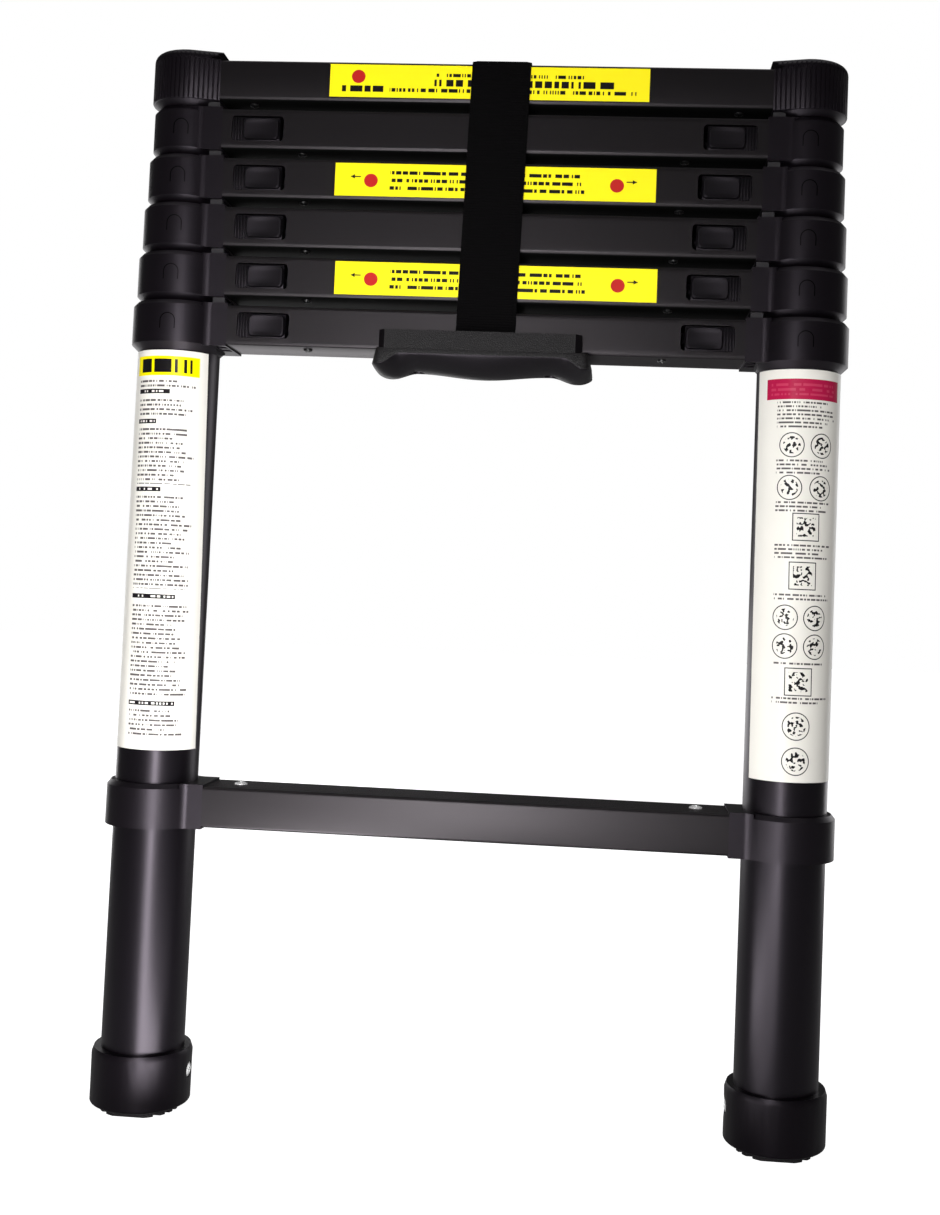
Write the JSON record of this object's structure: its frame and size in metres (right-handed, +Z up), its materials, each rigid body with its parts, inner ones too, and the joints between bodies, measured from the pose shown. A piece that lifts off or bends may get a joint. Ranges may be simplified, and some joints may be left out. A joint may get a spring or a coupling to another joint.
{
  "type": "telescoping ladder",
  "caption": "Closed telescoping ladder with stacked rungs in moulded collars, sliding round stiles, thumb latches, cupped feet, carry handle and strap.",
  "frame": {"origin": "on the floor, midway between the two feet", "axes": "+X to the ladder's right seen from the front, -Y the front with the thumb latches, +Z up along the stiles"},
  "size_m": [0.4536, 0.0616, 0.6635],
  "materials": {
    "tube_finish": "black satin anodised tube",
    "rung_finish": "black satin anodised rung",
    "collar_plastic": "moulded black nylon",
    "cap_plastic": "fluted black nylon",
    "foot_plastic": "black moulded cup",
    "tread_rubber": "ribbed black rubber",
    "latch_plastic": "smooth black thumb latch",
    "handle_plastic": "grained black handle",
    "glide_plastic": "grey acetal bush",
    "steel": "zinc plated steel",
    "strap_web": "black woven webbing",
    "band_film": "plain yellow film",
    "label_film": "plain cream film"
  },
  "bodies": {
    "base": {"bottom_tubes": "tube_finish", "feet": "foot_plastic", "foot_treads": "tread_rubber", "collars_7": "collar_plastic", "rung_7": "rung_finish", "collars_6": "collar_plastic", "rung_6": "rung_finish", "carry_handle": "handle_plastic", "tube_labels": "label_film", "base_screws": "steel", "spring_6_left": "steel", "spring_6_right": "steel"},
    "section_5": {"tubes_5": "tube_finish", "collars_5": "collar_plastic", "rung_5": "rung_finish", "glides_5": "glide_plastic", "screws_5": "steel", "spring_5_left": "steel", "spring_5_right": "steel", "band_5": "band_film"},
    "section_4": {"tubes_4": "tube_finish", "collars_4": "collar_plastic", "rung_4": "rung_finish", "glides_4": "glide_plastic", "screws_4": "steel", "spring_4_left": "steel", "spring_4_right": "steel"},
    "section_3": {"tubes_3": "tube_finish", "collars_3": "collar_plastic", "rung_3": "rung_finish", "glides_3": "glide_plastic", "screws_3": "steel", "spring_3_left": "steel", "spring_3_right": "steel", "band_3": "band_film"},
    "section_2": {"tubes_2": "tube_finish", "collars_2": "collar_plastic", "rung_2": "rung_finish", "glides_2": "glide_plastic", "screws_2": "steel", "spring_2_left": "steel", "spring_2_right": "steel"},
    "section_1": {"tubes_1": "tube_finish", "top_caps": "cap_plastic", "rung_1": "rung_finish", "glides_1": "glide_plastic", "screws_1": "steel", "band_1": "band_film"},
    "latch_2_left": {"latch_2_left": "latch_plastic"},
    "latch_2_right": {"latch_2_right": "latch_plastic"},
    "latch_3_left": {"latch_3_left": "latch_plastic"},
    "latch_3_right": {"latch_3_right": "latch_plastic"},
    "latch_4_left": {"latch_4_left": "latch_plastic"},
    "latch_4_right": {"latch_4_right": "latch_plastic"},
    "latch_5_left": {"latch_5_left": "latch_plastic"},
    "latch_5_right": {"latch_5_right": "latch_plastic"},
    "latch_6_left": {"latch_6_left": "latch_plastic"},
    "latch_6_right": {"latch_6_right": "latch_plastic"},
    "strap": {"strap": "strap_web"}
  },
  "joints": [
    {"name": "section_5_slide", "type": "slide", "parent": "base", "child": "section_5", "axis": [0, 0, 1], "range_m": [0, 0.2688]},
    {"name": "section_4_slide", "type": "slide", "parent": "section_5", "child": "section_4", "axis": [0, 0, 1], "range_m": [0, 0.2688]},
    {"name": "section_3_slide", "type": "slide", "parent": "section_4", "child": "section_3", "axis": [0, 0, 1], "range_m": [0, 0.2688]},
    {"name": "section_2_slide", "type": "slide", "parent": "section_3", "child": "section_2", "axis": [0, 0, 1], "range_m": [0, 0.2688]},
    {"name": "section_1_slide", "type": "slide", "parent": "section_2", "child": "section_1", "axis": [0, 0, 1], "range_m": [0, 0.2688]},
    {"name": "latch_2_left_slide", "type": "slide", "parent": "section_2", "child": "latch_2_left", "axis": [1, 0, 0], "range_m": [0, 0.0025], "stiffness_N_per_m": 400, "deforming": ["spring_2_left"]},
    {"name": "latch_2_right_slide", "type": "slide", "parent": "section_2", "child": "latch_2_right", "axis": [-1, 0, 0], "range_m": [0, 0.0025], "stiffness_N_per_m": 400, "deforming": ["spring_2_right"]},
    {"name": "latch_3_left_slide", "type": "slide", "parent": "section_3", "child": "latch_3_left", "axis": [1, 0, 0], "range_m": [0, 0.0025], "stiffness_N_per_m": 400, "deforming": ["spring_3_left"]},
    {"name": "latch_3_right_slide", "type": "slide", "parent": "section_3", "child": "latch_3_right", "axis": [-1, 0, 0], "range_m": [0, 0.0025], "stiffness_N_per_m": 400, "deforming": ["spring_3_right"]},
    {"name": "latch_4_left_slide", "type": "slide", "parent": "section_4", "child": "latch_4_left", "axis": [1, 0, 0], "range_m": [0, 0.0025], "stiffness_N_per_m": 400, "deforming": ["spring_4_left"]},
    {"name": "latch_4_right_slide", "type": "slide", "parent": "section_4", "child": "latch_4_right", "axis": [-1, 0, 0], "range_m": [0, 0.0025], "stiffness_N_per_m": 400, "deforming": ["spring_4_right"]},
    {"name": "latch_5_left_slide", "type": "slide", "parent": "section_5", "child": "latch_5_left", "axis": [1, 0, 0], "range_m": [0, 0.0025], "stiffness_N_per_m": 400, "deforming": ["spring_5_left"]},
    {"name": "latch_5_right_slide", "type": "slide", "parent": "section_5", "child": "latch_5_right", "axis": [-1, 0, 0], "range_m": [0, 0.0025], "stiffness_N_per_m": 400, "deforming": ["spring_5_right"]},
    {"name": "latch_6_left_slide", "type": "slide", "parent": "base", "child": "latch_6_left", "axis": [1, 0, 0], "range_m": [0, 0.0025], "stiffness_N_per_m": 400, "deforming": ["spring_6_left"]},
    {"name": "latch_6_right_slide", "type": "slide", "parent": "base", "child": "latch_6_right", "axis": [-1, 0, 0], "range_m": [0, 0.0025], "stiffness_N_per_m": 400, "deforming": ["spring_6_right"]},
    {"name": "strap_lift", "type": "slide", "parent": "section_1", "child": "strap", "axis": [0, 0, 1], "range_m": [0, 0.25]}
  ]
}
